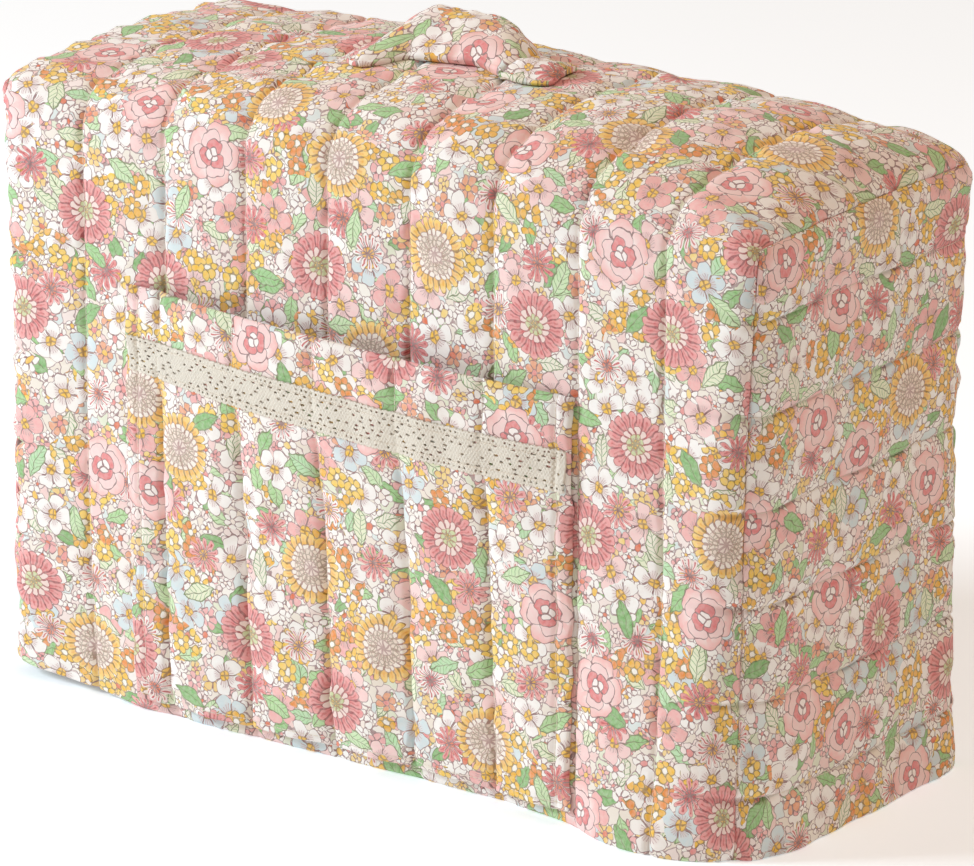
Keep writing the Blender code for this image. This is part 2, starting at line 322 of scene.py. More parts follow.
def printed_cotton():
    """The printed cloth, with its flowers laid in layers from the ground to the blooms, in mm."""
    made, shader, cloth = new_material("printed_cotton", roughness=0.88, sheen=0.12)
    cut = cloth.node("ShaderNodeUVMap", {"uv_map": "cut"})
    flat = cloth.node("ShaderNodeMapping", None, {"Vector": cut, "Scale": (1000, 1000, 1)})
    sway = cloth.node("ShaderNodeTexNoise", {"noise_dimensions": "2D"},
                      {"Vector": flat, "Scale": 1 / 6, "Detail": 1.0}).out("Color")
    drawn, loose = (cloth.vector("MULTIPLY_ADD", sway, (reach, reach, 0), flat)
                    for reach in (3.0, 6.0))
    colour = print_ground(loose, pitch=6.4, line=0.32)
    colour = print_small(
        colour, drawn, pitch=8.6, shift=300, reach=3.7, number=5,
        dyes=("F8F2EB", "EFBCB8", "F3E2DB", "F7F1E9", "EDCB80", "F8F3EC", "E4A09D", "F4ECE2",
              "F8F2EA"))
    colour = print_leaves(colour, drawn, pitch=19.0, shift=120, length=8.6, width=3.9)
    colour = print_small(
        colour, drawn, pitch=16.5, shift=700, reach=5.6, number=6,
        dyes=("F7F1EA", "EAAAA7", "F8F3EC", "E8A27C", "F3E3DC", "EEC97A", "F8F3EC"))
    colour = print_medium(colour, drawn, pitch=27.0, shift=500, reach=10.8)
    colour = print_clusters(colour, drawn, pitch=12.6, shift=40, patch=34, radius=3.75, bead=2.15)
    colour = print_sprays(colour, drawn, pitch=47.0, shift=260, reach=9.5)
    colour = print_leaves(colour, drawn, pitch=46.0, shift=820, length=10.0, width=4.4)
    colour = print_blooms(colour, drawn, flat, pitch=62.0, shift=900)
    worn = cloth.node("ShaderNodeTexNoise", {"noise_dimensions": "2D"},
                      {"Vector": flat, "Scale": 1 / 2.2, "Detail": 2.0})
    faded = (worn - 0.25) * 0.58
    colour = faded.over(colour, dye("EFE3D8"))
    cloth.tree.links.new(colour.socket, shader.inputs["Base Color"])
    threads = cloth.node("ShaderNodeSeparateXYZ", None, {0: flat})
    warp, weft = threads.out("X") * (math.tau / WEAVE), threads.out("Y") * (math.tau / WEAVE)
    raised = cloth.node("ShaderNodeBump", None,
                        {"Height": warp.sine() * weft.sine() + worn * 0.8,
                         "Strength": 0.35, "Distance": 0.00012})
    cloth.tree.links.new(raised.socket, shader.inputs["Normal"])
    return made


COTTON = printed_cotton()


# Body panel. One length of the cotton, quilted over thin wadding in eight upright lines, goes
# up the front, over the top and down the back. The seams and the lines of stitching pull small
# puckers into it, and it stands on its turned hem.

WIDTH = 0.440
DEPTH = 0.182
HEIGHT = 0.307
HEM_TO_HEM = 2 * HEIGHT + DEPTH
SET_OVER = 0.0032
SET_BACK = 0.0058
STEP = 0.0005

BODY_CHANNELS = 9
BODY_PITCH = WIDTH / BODY_CHANNELS
STITCHED_THICKNESS = 0.0026
WALL_PUFF = 0.0017
TOP_PUFF = 0.0028
INSIDE_SHARE = 0.4
PUFF_ROUNDNESS = 0.55
GROOVE = 0.0011
GROOVE_REACH = 0.0013
PUCKER_DEPTH = 0.0015
PUCKER_START = 0.0014
PUCKER_REACH = 0.011
PUCKER_PITCH = 0.017
SEAM_TAPER = 0.020
SEAM_DEPTH = 0.0011
SEAM_REACH = 0.0045
TURNED_HEM = 0.0012
TURNED_REACH = 0.0016

TOP_CORNER = 0.011
FOLD = 0.022
FOLD_SPREAD = 0.070
HEM_CORNER = 0.018
NEAR_HEM_CORNER = 0.048
CORNER_SPREAD = 1.4
FOLD_FADE = 4
END_FADE = 6
FLARE_HEIGHT = 0.150
BACK_FLARE = 0.3

# Heights of the top along the body: x, front fold, ridge, back fold
TOP_HEIGHTS = (
    (-0.220, 0.309, 0.313, 0.3060),
    (-0.171, 0.312, 0.319, 0.3105),
    (-0.110, 0.318, 0.324, 0.3145),
    (-0.049, 0.321, 0.331, 0.3155),
    (0.024, 0.320, 0.333, 0.3130),
    (0.085, 0.317, 0.334, 0.3132),
    (0.147, 0.313, 0.331, 0.3140),
    (0.190, 0.311, 0.323, 0.3125),
    (0.220, 0.308, 0.308, 0.3065),
)
# How far each end stands out at the hem, halfway up and at the top
END_OUTS = {"left": (0.012, 0.003, 0.007), "right": (0.004, 0.000, 0.007)}
# How the front hem leaves its line: x, out, lift
HEM_OUTS = (
    (-0.220, -0.008, 0.006),
    (-0.170, -0.009, 0.003),
    (-0.140, -0.006, 0.000),
    (0.050, -0.007, 0.000),
    (0.105, -0.003, 0.000),
    (0.150, 0.011, 0.000),
    (0.190, 0.010, 0.000),
    (0.220, 0.008, 0.000),
)
PULL_RIDGE, PULL_RIDGE_REACH = 0.45, 0.0105
PULL_CREASE, PULL_CREASE_REACH = 1.35, 0.0021
PULL_SHARE_BEHIND = 0.5
# Creases that the ends' stitching pulls into the body: height, length, slope, depth
PULLS = (
    (0.0300, 0.050, 0.10, 0.0020),
    (0.0775, 0.066, -0.06, 0.0026),
    (0.1250, 0.054, 0.04, 0.0022),
    (0.1725, 0.070, -0.10, 0.0026),
    (0.2200, 0.060, 0.08, 0.0024),
    (0.2675, 0.052, 0.16, 0.0022),
)


def ease(value):
    """0 to 1 with a soft start and end."""
    value = np.clip(value, 0.0, 1.0)
    return value * value * (3 - 2 * value)


def curve(table, at, column=1):
    """Value at each place of the smooth curve through a table's rows."""
    rows = np.array(table)
    places, values = rows[:, 0], rows[:, column]
    slopes = np.empty_like(values)
    slopes[1:-1] = (values[2:] - values[:-2]) / (places[2:] - places[:-2])
    slopes[0] = (values[1] - values[0]) / (places[1] - places[0])
    slopes[-1] = (values[-1] - values[-2]) / (places[-1] - places[-2])
    at = np.clip(at, places[0], places[-1])
    row = np.clip(np.searchsorted(places, at, side="right") - 1, 0, len(places) - 2)
    span = places[row + 1] - places[row]
    t = (at - places[row]) / span
    return (values[row] + (values[row + 1] - values[row]) * t * t * (3 - 2 * t)
            + slopes[row] * span * t * (1 - t) ** 2
            - slopes[row + 1] * span * t * t * (1 - t))


def top_height(x, y):
    """Height of the domed top over each spot of the plan."""
    across = np.clip(2 * y / DEPTH, -1, 1)
    front, ridge, back = (curve(TOP_HEIGHTS, x, column) for column in (1, 2, 3))
    folds = (front + back) / 2 + (back - front) / 2 * across
    return folds + (ridge - (front + back) / 2) * (1 - across * across)


def draped(x, y, z):
    """Where points of the plain box lie on the soft cover."""
    rise = z / HEIGHT
    low = np.maximum(0.0, 1 - rise)
    hem_corner = np.where((x > 0) & (y < 0), NEAR_HEM_CORNER, HEM_CORNER)
    middle = ease((WIDTH / 2 - abs(x)) / FOLD_SPREAD)
    radius = (TOP_CORNER + (hem_corner - TOP_CORNER) * low ** CORNER_SPREAD
              + (FOLD - TOP_CORNER) * middle * rise ** FOLD_FADE)
    core = np.stack([np.clip(x, radius - WIDTH / 2, WIDTH / 2 - radius),
                     np.clip(y, radius - DEPTH / 2, DEPTH / 2 - radius),
                     np.minimum(z, HEIGHT - radius)], -1)
    out = np.stack([x, y, z], -1) - core
    length = np.maximum(np.linalg.norm(out, axis=-1), 1e-9)
    spot = core + out * (abs(out).max(-1) / length)[:, None]

    spot[:, 2] *= top_height(spot[:, 0], spot[:, 1]) / HEIGHT
    right = spot[:, 0] > 0
    hem, halfway, top = (np.where(right, END_OUTS["right"][k], END_OUTS["left"][k])
                         for k in range(3))
    out_by = hem * low * (1 - 2 * rise) + halfway * 4 * low * rise + top * rise * (2 * rise - 1)
    near_end = (2 * abs(spot[:, 0]) / WIDTH) ** END_FADE
    spot[:, 0] += np.copysign(out_by, spot[:, 0]) * near_end + SET_OVER
    front_share = 0.5 - np.clip(spot[:, 1] / DEPTH, -0.5, 0.5)
    flare = np.maximum(0.0, 1 - z / FLARE_HEIGHT) ** 2
    hem_out, lift = curve(HEM_OUTS, x, 1), np.maximum(0.0, curve(HEM_OUTS, x, 2))
    spot[:, 1] += hem_out * flare * (BACK_FLARE * (1 - front_share) - front_share) + SET_BACK
    spot[:, 2] += lift * flare * front_share ** 2
    return spot


def body_place(x, run):
    """The body panel: x across, run from the front hem over the top to the back hem."""
    x = np.clip(x, -WIDTH / 2, WIDTH / 2)
    run = np.clip(run, 0, HEM_TO_HEM)
    y = np.clip(run - HEIGHT - DEPTH / 2, -DEPTH / 2, DEPTH / 2)
    return draped(x, y, np.minimum(HEIGHT, np.minimum(run, HEM_TO_HEM - run)))


def laid(place, u, v):
    """The spots for a flat panel's points, and the way out of the cover there."""
    across = place(u + STEP, v) - place(u - STEP, v)
    along = place(u, v + STEP) - place(u, v - STEP)
    way_out = np.cross(across, along)
    return place(u, v), way_out / np.linalg.norm(way_out, axis=-1, keepdims=True)


def waves(seed, u, v, length, stretch=1.0):
    """Smooth uneven waves, about -1 to 1, longer along v by stretch."""
    rng = np.random.default_rng(seed)
    count, shortest, longest, crest = 8, 0.7, 1.5, 3.2
    total = 0.0
    for _ in range(count):
        turn, phase = rng.uniform(0, math.tau, 2)
        size = length * rng.uniform(shortest, longest)
        way = u * math.cos(turn) + v * math.sin(turn) / stretch
        total = total + np.sin(math.tau * way / size + phase)
    return total / crest


def channel(position, pitch):
    """Fullness of the wadding: 0 on a line of stitching, 1 midway to the next."""
    return abs(np.sin(math.pi * position / pitch)) ** PUFF_ROUNDNESS


def groove(position, pitch):
    """Depth of the narrow groove that a line of stitching draws into the cloth."""
    off = position - np.rint(position / pitch) * pitch
    return GROOVE * np.exp(-(off / GROOVE_REACH) ** 2)


def puckers(seed, position, pitch, along):
    """Small ridges that a line of stitching gathers on both sides of itself."""
    line = np.rint(position / pitch)
    off = abs(position - line * pitch)
    near = np.exp(-off / PUCKER_REACH) * (1 - np.exp(-off / PUCKER_START))
    slant, apart = 0.45 * off, 0.061 * line
    return waves(seed, apart, along + slant, PUCKER_PITCH) * near


def rolled(distance, reach):
    """0 at a turned edge and 1 from its reach inwards, round between."""
    return np.sqrt(1 - (1 - np.clip(distance / reach, 0, 1)) ** 2)


def body_puff(x, run):
    """The body's fullness between its lines, and how far each point belongs to the top."""
    on_top = ease((run - HEIGHT + FOLD) / FOLD) * ease((HEIGHT + DEPTH + FOLD - run) / FOLD)
    hem = 0.5 + 0.5 * ease(np.minimum(run, HEM_TO_HEM - run) / SEAM_TAPER)
    height = WALL_PUFF + (TOP_PUFF - WALL_PUFF) * on_top
    return height * hem * channel(x + WIDTH / 2, BODY_PITCH), on_top


def body_relief(x, run):
    """How far the body panel's face stands out from where its stitching lies."""
    full, on_top = body_puff(x, run)
    up = np.minimum(run, HEM_TO_HEM - run)
    to_seam = WIDTH / 2 - abs(x)
    uneven = 0.25 * waves(11, x, run, 0.075, 1.6)
    softness = 0.0005 * waves(13, x, run, 0.032, 0.6)
    seam_waves = 0.0009 * waves(14, to_seam * 0.5, run, 0.019)
    relief = full * (1 + uneven)
    relief -= groove(x + WIDTH / 2, BODY_PITCH) * ease(to_seam / 0.02)
    relief += PUCKER_DEPTH * puckers(12, x + WIDTH / 2, BODY_PITCH, run) * (1 + 0.5 * on_top)
    relief += softness * (0.5 + on_top)
    relief += seam_waves * np.exp(-to_seam / 0.011)
    behind = run > HEM_TO_HEM / 2
    shift = np.where(x > 0, 0.0, 0.009) + np.where(behind, 0.006, 0.0)
    for height, length, slope, depth in PULLS:
        off = up - height - slope * to_seam - shift * math.sin(height * 400)
        reach = (1 - ease(to_seam / length)) * (1 - on_top)
        reach *= np.where(behind, PULL_SHARE_BEHIND, 1.0)
        relief += depth * reach * (PULL_RIDGE * np.exp(-(off / PULL_RIDGE_REACH) ** 2)
                                   - PULL_CREASE * np.exp(-(off / PULL_CREASE_REACH) ** 2))
    return relief - SEAM_DEPTH * (1 - rolled(to_seam, SEAM_REACH))


def sheet(name, us, vs, place, paint, cut_from, pierce=None):
    """A closed piece of cloth from a flat grid with a back, each point then put in its place."""
    us, vs = np.array(us), np.array(vs)
    bm = bmesh.new()
    bmesh.ops.create_grid(bm, x_segments=len(us) - 1, y_segments=len(vs) - 1, size=0.5)
    if pierce:
        pierce(bm)
    copied = bmesh.ops.extrude_face_region(bm, geom=bm.faces[:])
    back = [item for item in copied["geom"] if isinstance(item, bmesh.types.BMVert)]
    bmesh.ops.translate(bm, verts=back, vec=(0, 0, -1))
    bmesh.ops.recalc_face_normals(bm, faces=bm.faces[:])
    mesh = bpy.data.meshes.new(name)
    bm.to_mesh(mesh)
    bm.free()

    flat = np.empty(len(mesh.vertices) * 3)
    mesh.vertices.foreach_get("co", flat)
    flat = flat.reshape(-1, 3)
    u = np.interp(flat[:, 0] + 0.5, np.linspace(0, 1, len(us)), us)
    v = np.interp(flat[:, 1] + 0.5, np.linspace(0, 1, len(vs)), vs)
    mesh.vertices.foreach_set("co", place(u, v, flat[:, 2] > -0.5).ravel())
    corners = np.empty(len(mesh.loops), dtype=np.int32)
    mesh.loops.foreach_get("vertex_index", corners)
    cut = mesh.uv_layers.new(name="cut")
    cut.data.foreach_set("uv", (np.stack([u, v], -1) + cut_from)[corners].ravel())
    mesh.shade_smooth()
    mesh.materials.append(paint)
    made = bpy.data.objects.new(name, mesh)
    bpy.context.scene.collection.objects.link(made)
    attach(made, "root")
    return made


def between(low, high, pitch, edge=(0.0, 0.0006, 0.0014, 0.0026, 0.0042)):
    """Even places at about one pitch, closer together beside both edges."""
    first, last = low + edge[-1], high - edge[-1]
    steps = max(2, round((last - first) / pitch))
    inner = np.linspace(first, last, steps + 1)[1:-1]
    return np.concatenate([[low + e for e in edge], inner, [high - e for e in reversed(edge)]])


def beside_lines(places, lines, off=(0.0, 0.0009, 0.0022)):
    """The same places with finer ones on and beside each line of stitching."""
    clear = off[-1] + 0.0007
    places = np.array([p for p in places if min(abs(p - line) for line in lines) > clear])
    extra = [line + sign * o for line in lines for o in off for sign in (-1, 1)]
    return np.unique(np.round(np.concatenate([places, extra]), 6))


def body_spot(x, run, outside):
    """Where the body panel's face and inside lie, with the hem turned in at both ends."""
    base, way_out = laid(body_place, x, run)
    full, _ = body_puff(x, run)
    hem = np.minimum(run, HEM_TO_HEM - run)
    turned = TURNED_HEM * (1 - rolled(hem, TURNED_REACH))
    face = body_relief(x, run) - turned
    inner = -STITCHED_THICKNESS - full * INSIDE_SHARE + turned
    spots = base + way_out * np.where(outside, face, inner)[:, None]
    spots[:, 2] = np.where(hem < 1e-6, base[:, 2], spots[:, 2])
    return spots


body_lines = [-WIDTH / 2 + k * BODY_PITCH for k in range(1, BODY_CHANNELS)]
body_columns = beside_lines(between(-WIDTH / 2 + 0.0001, WIDTH / 2 - 0.0001, 0.0040), body_lines)
pulled = [pull[0] for pull in PULLS]
pulled += [HEM_TO_HEM - height for height in pulled]
body_rows = beside_lines(between(0, HEM_TO_HEM, 0.0034), pulled,
                         (0.0, 0.0011, 0.0022, 0.0034, 0.0048, 0.0064))
body = sheet("body_cloth", body_columns, body_rows, body_spot, COTTON,
             (0.25, 0.03))
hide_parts("body_panel")


# End panels. One at each end, quilted in level lines and seamed to the body panel up both
# sides and across the top. The seam sinks into a narrow groove.

END_FIRST_LINE = 0.030
END_PITCH = 0.0475


def end_place(side):
    """An end panel: y across and z up, with side 1 on the right and -1 on the left."""
    def place(y, z):
        y = np.clip(side * y, -DEPTH / 2, DEPTH / 2)
        return draped(np.full_like(y, side * WIDTH / 2), y, np.clip(z, 0, HEIGHT))
    return place


def end_puff(y, z):
    """An end's fullness between its lines, less beside its seams."""
    seam = np.minimum(DEPTH / 2 - abs(y), HEIGHT - z)
    return WALL_PUFF * ease(seam / SEAM_TAPER) * channel(z - END_FIRST_LINE, END_PITCH)


def end_relief(seed, y, z):
    """How far an end panel's face stands out from where its stitching lies."""
    seam = np.minimum(DEPTH / 2 - abs(y), HEIGHT - z)
    uneven = 0.3 * waves(seed, y, z, 0.06)
    seam_waves = 0.0010 * waves(seed + 2, seam * 0.4, z, 0.020)
    softness = 0.0006 * waves(seed + 3, y, z, 0.035)
    relief = end_puff(y, z) * (1 + uneven)
    relief -= groove(z - END_FIRST_LINE, END_PITCH)
    relief += PUCKER_DEPTH * puckers(seed + 1, z - END_FIRST_LINE, END_PITCH, y)
    relief += seam_waves * np.exp(-seam / 0.012) + softness
    return relief - SEAM_DEPTH * (1 - rolled(seam, SEAM_REACH))


def end_spot(side, seed):
    """Where an end panel's face and inside lie, with its hem turned in."""
    def spot(y, z, outside):
        base, way_out = laid(end_place(side), y, z)
        turned = TURNED_HEM * (1 - rolled(z, TURNED_REACH))
        face = end_relief(seed, y, z) - turned
        inner = -STITCHED_THICKNESS - end_puff(y, z) * INSIDE_SHARE + turned
        spots = base + way_out * np.where(outside, face, inner)[:, None]
        spots[:, 2] = np.where(z < 1e-6, base[:, 2], spots[:, 2])
        return spots
    return spot


end_lines = np.arange(END_FIRST_LINE, HEIGHT - 0.02, END_PITCH)
end_rows = beside_lines(between(0, HEIGHT - 0.0001, 0.0032), end_lines)
end_columns = between(-DEPTH / 2 + 0.0001, DEPTH / 2 - 0.0001, 0.0032)
for end_name, side, seed, cut_from in (("right", 1, 31, (1.13, 0.42)),
                                       ("left", -1, 51, (1.71, 0.17))):
    end = sheet("end_cloth_" + end_name, end_columns, end_rows, end_spot(side, seed), COTTON,
                cut_from)
    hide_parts("end_panel_" + end_name)


# Patch pocket. The same quilted cotton on the front, its channels in line with the body's,
# topstitched up both sides and along its foot. Its mouth hangs a little open.

POCKET_LEFT = -0.1430
POCKET_RIGHT = 0.121
POCKET_FOOT = 0.007
POCKET_GAP = 0.0004
POCKET_TAPER = 0.009
POCKET_STITCHING = 0.0075
POCKET_STITCH_DENT = 0.0010
POCKET_PUCKER_DEPTH = 0.0013
MOUTH_GAPE = 0.0085
GAPE_DEPTH = 0.120
LACE_HOLD = 0.85
LACE_HOLD_REACH = 0.016
TURNED_MOUTH = 0.0010
TURNED_MOUTH_REACH = 0.0015
MOUTH_HEIGHTS = ((-0.147, 0.216), (-0.060, 0.211), (0.030, 0.2095), (0.121, 0.210))
LACE_HEIGHTS = ((-0.147, 0.1835), (-0.060, 0.1765), (0.040, 0.1735), (0.121, 0.1740))


def pocket_gape(x, z):
    """How far the pocket stands off, from 0 where it is sewn to 1 at the middle of its mouth."""
    across = (x - POCKET_LEFT) / (POCKET_RIGHT - POCKET_LEFT)
    depth = curve(MOUTH_HEIGHTS, x) - z
    return ease(4 * across * (1 - across)) * ease(1 - depth / GAPE_DEPTH)


def pocket_at(x, z, outside, proud=0.0):
    """The pocket's face, or what stands proud of it, and its inside, over the body's own face."""
    base, way_out = laid(body_place, x, z)
    mouth = curve(MOUTH_HEIGHTS, x) - z
    sides = np.minimum(x - POCKET_LEFT, POCKET_RIGHT - x)
    edge = np.minimum(sides, np.minimum(mouth, z - POCKET_FOOT))
    turned = TURNED_MOUTH * (1 - rolled(edge, TURNED_MOUTH_REACH))
    gape = pocket_gape(x, z)
    from_lace = z - curve(LACE_HEIGHTS, x)
    held_flat = LACE_HOLD * np.exp(-(from_lace / LACE_HOLD_REACH) ** 4)
    lying = body_relief(x, z) * (1 - held_flat) + WALL_PUFF * held_flat
    off = POCKET_GAP + (1 - gape) * lying + gape * (WALL_PUFF + MOUTH_GAPE) + turned
    full = ease(np.minimum(sides, mouth) / POCKET_TAPER) * channel(x + WIDTH / 2, BODY_PITCH)
    uneven = 0.25 * waves(71, x, z, 0.07)
    softness = 0.0005 * waves(73, x, z, 0.034)
    side_waves = 0.0009 * waves(74, sides * 0.4, z, 0.018)
    gathered = POCKET_PUCKER_DEPTH * puckers(72, x + WIDTH / 2, BODY_PITCH, z)
    relief = WALL_PUFF * full * (1 - held_flat) * (1 + uneven)
    relief -= 0.7 * groove(x + WIDTH / 2, BODY_PITCH) * (1 - held_flat)
    relief += gathered * (1 - 0.7 * held_flat) + softness
    relief += side_waves * np.exp(-sides / 0.014)
    relief -= POCKET_STITCH_DENT * np.exp(-((sides - POCKET_STITCHING) / GROOVE_REACH) ** 2)
    face = off + STITCHED_THICKNESS + relief - 2 * turned + proud
    return base + way_out * np.where(outside, face, off)[:, None]


pocket_depth = MOUTH_HEIGHTS[0][1] - POCKET_FOOT


def pocket_spot(x, up, outside):
    """The pocket's points from its flat pattern, whose top edge becomes the sloping mouth."""
    z = POCKET_FOOT + (curve(MOUTH_HEIGHTS, x) - POCKET_FOOT) * up / pocket_depth
    return pocket_at(x, z, outside)


pocket_lines = [x for x in body_lines if POCKET_LEFT + 0.012 < x < POCKET_RIGHT - 0.012]
topstitched = [POCKET_LEFT + POCKET_STITCHING, POCKET_RIGHT - POCKET_STITCHING]
pocket_columns = beside_lines(between(POCKET_LEFT, POCKET_RIGHT, 0.0032),
                              pocket_lines + topstitched)
pocket = sheet("pocket_cloth", pocket_columns, between(0, pocket_depth, 0.0030), pocket_spot,
               COTTON, (3.02, 0.31))
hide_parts("pocket")


# Lace band. A cream cotton lace, about 2 cm wide, with rows of small eyelets and a scalloped
# edge on both sides, stitched flat across the pocket.

LACE_WIDTH = 0.0195
LACE_THICKNESS = 0.0009
LACE_GAP = 0.0001
LACE_INSET = 0.002
LACE_NARROWING = 0.15
LACE_NARROW_LENGTH = 0.110
EYELET_SHIFT = 0.00040
EYELETS_OPEN_BELOW = 0.45
SCALLOP = 0.055
SCALLOP_PITCH = 0.0036
CORD_RELIEF = 0.3
CORD_PITCH = 0.0018
# Eyelets: height in the band from -1 to 1, pitch, offset, half width, half height
EYELETS = (
    (0.83, 0.0030, 0.0, 0.00052, 0.00042),
    (0.58, 0.0052, 0.0013, 0.00120, 0.00042),
    (0.34, 0.0052, 0.0039, 0.00085, 0.00044),
    (0.10, 0.0070, 0.0010, 0.00135, 0.00044),
    (-0.14, 0.0052, 0.0030, 0.00085, 0.00046),
    (-0.36, 0.0070, 0.0045, 0.00130, 0.00044),
    (-0.60, 0.0052, 0.0, 0.00100, 0.00042),
    (-0.83, 0.0030, 0.0013, 0.00052, 0.00042),
)
lace_left, lace_right = POCKET_LEFT + LACE_INSET, POCKET_RIGHT - LACE_INSET
lace_length = lace_right - lace_left


def pierce_lace(bm):
    """Cuts the uneven eyelets out of the band and eases their edges."""
    lots = np.random.default_rng(81).uniform(-1, 1, (len(EYELETS), 110, 3))
    gone = []
    for face in bm.faces:
        middle = face.calc_center_median()
        x, y = (middle.x + 0.5) * lace_length, middle.y * LACE_WIDTH
        for row, (height, pitch, offset, half_width, half_height) in enumerate(EYELETS):
            nearest = round((x + offset) / pitch)
            shift_x, shift_y, closed = lots[row, nearest]
            off_x = x + offset - nearest * pitch - shift_x * EYELET_SHIFT
            off_y = y - height * LACE_WIDTH / 2 - shift_y * EYELET_SHIFT / 2
            inside = (off_x / half_width) ** 2 + (off_y / half_height) ** 2 < 1
            if closed < EYELETS_OPEN_BELOW and inside:
                gone.append(face)
                break
    bmesh.ops.delete(bm, geom=gone, context="FACES")
    rims = [vert for vert in bm.verts
            if vert.is_boundary and max(abs(vert.co.x), abs(vert.co.y)) < 0.499]
    for _ in range(2):
        bmesh.ops.smooth_vert(bm, verts=rims, factor=0.5, use_axis_x=True, use_axis_y=True)


def lace_spot(x, across, outside):
    """The band's face and back, across from -1 to 1, lying on the pocket's face."""
    scallop = 1 + SCALLOP * abs(np.sin(math.pi * x / SCALLOP_PITCH)) * abs(across) ** 8
    spread = 1 - LACE_NARROWING * (1 - ease((x - lace_left) / LACE_NARROW_LENGTH))
    z = curve(LACE_HEIGHTS, x) + across * spread * scallop * LACE_WIDTH / 2
    cord = CORD_RELIEF * np.cos(math.tau * x / CORD_PITCH) * np.cos(7 * math.pi * across)
    proud = LACE_GAP + np.where(outside, LACE_THICKNESS * (1 + cord), 0.0)
    return pocket_at(x, z, np.full(x.shape, True), proud)


def cotton_lace():
    """Cream cotton thread that crosses both ways, a little uneven in colour, with painted shade in
    the hollows between its crossings.
    """
    made, shader, lace = new_material("cotton_lace", roughness=0.92, sheen=0.2)
    cut = lace.node("ShaderNodeUVMap", {"uv_map": "cut"})
    flat = lace.node("ShaderNodeMapping", None, {"Vector": cut, "Scale": (1000, 9.75, 1)})
    spot = lace.node("ShaderNodeSeparateXYZ", None, {0: flat})
    across, along = spot.out("X"), spot.out("Y")
    slant = (across + along * 0.8) * (math.tau / 0.9)
    counter = (across - along * 0.8) * (math.tau / 0.9)
    threads = slant.sine() * counter.sine()
    worn = lace.node("ShaderNodeTexNoise", {"noise_dimensions": "2D"},
                     {"Vector": flat, "Scale": 0.8, "Detail": 3.0})
    # Painted shade: the colour follows the threads' bump height, darker in the hollows between the
    # crossings.
    colour = (threads * 0.5 + 0.5).over(dye("ECDFCA"), dye("FCF5E6"))
    colour = (worn * 0.5).over(colour, dye("F6ECDC"))
    lace.tree.links.new(colour.socket, shader.inputs["Base Color"])
    raised = lace.node("ShaderNodeBump", None,
                       {"Height": threads + worn, "Strength": 0.7, "Distance": 0.00025})
    lace.tree.links.new(raised.socket, shader.inputs["Normal"])
    return made


LACE = cotton_lace()
lace = sheet("lace_trim", np.linspace(lace_left, lace_right, 601), np.linspace(-1, 1, 46),
             lace_spot, LACE, (0.5, 1.0), pierce_lace)
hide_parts("lace_band")


# Carrying handle. A soft strap of the same cotton over wadding, sewn down at its two ends. It
# has slumped over, so that its near edge lies almost on the top.

HANDLE_LENGTH = 0.110
HANDLE_WIDTH = 0.038
HANDLE_CENTRE = (-0.0045, -0.0097)
HANDLE_TURN = math.radians(11.4)
HANDLE_FEET = (0.0085, 0.0133)
HANDLE_PEAK = -0.0130
HANDLE_RISE = 0.0087
HANDLE_FULLNESS = (1.63, 1.44)
HANDLE_LEAN = 0.0153
HANDLE_ROLL = math.radians(23)
HANDLE_TWIST = math.radians(13.5)
HANDLE_END = 0.012
HANDLE_NARROWING = 0.42
HANDLE_EDGE = 0.0026
HANDLE_PADDING = 0.0040
HANDLE_GAP = 0.0004
HANDLE_SAG = 0.0045
HANDLE_SAG_EDGE = 0.008
HANDLE_SAG_TILT = 0.6
HANDLE_TURNED = 0.0011
HANDLE_TURNED_REACH = 0.0022
HANDLE_STITCHING = 0.0032
HANDLE_STITCH_DENT = 0.0009
HANDLE_STITCH_REACH = 0.0011


def handle_arch(s):
    """Share of the full rise along the strap: 0 at its feet and 1 at its peak."""
    past = s > HANDLE_PEAK
    reach = HANDLE_LENGTH / 2 - np.where(past, HANDLE_FEET[1], HANDLE_FEET[0])
    span = reach - np.where(past, HANDLE_PEAK, -HANDLE_PEAK)
    fullness = np.where(past, HANDLE_FULLNESS[1], HANDLE_FULLNESS[0])
    return ease(fullness * (1 - abs(s - HANDLE_PEAK) / span))


def handle_under(s, t):
    """The strap's underside, s along it and t across it."""
    arch = handle_arch(s)
    roll = (HANDLE_ROLL - HANDLE_TWIST * 2 * s / HANDLE_LENGTH) * arch
    t = t * (1 - HANDLE_NARROWING * (1 - rolled(HANDLE_LENGTH / 2 - abs(s), HANDLE_END)))
    aside = HANDLE_LEAN * arch + t * np.cos(roll)
    x = HANDLE_CENTRE[0] + s * math.cos(HANDLE_TURN) - aside * math.sin(HANDLE_TURN)
    y = HANDLE_CENTRE[1] + s * math.sin(HANDLE_TURN) + aside * math.cos(HANDLE_TURN)
    run = HEIGHT + DEPTH / 2 + y
    base, way_out = laid(body_place, x, run)
    off = HANDLE_GAP + body_relief(x, run) * (1 - arch) + TOP_PUFF * arch
    spot = base + way_out * off[:, None]
    spot[:, 2] += HANDLE_RISE * arch + t * np.sin(roll)
    return spot


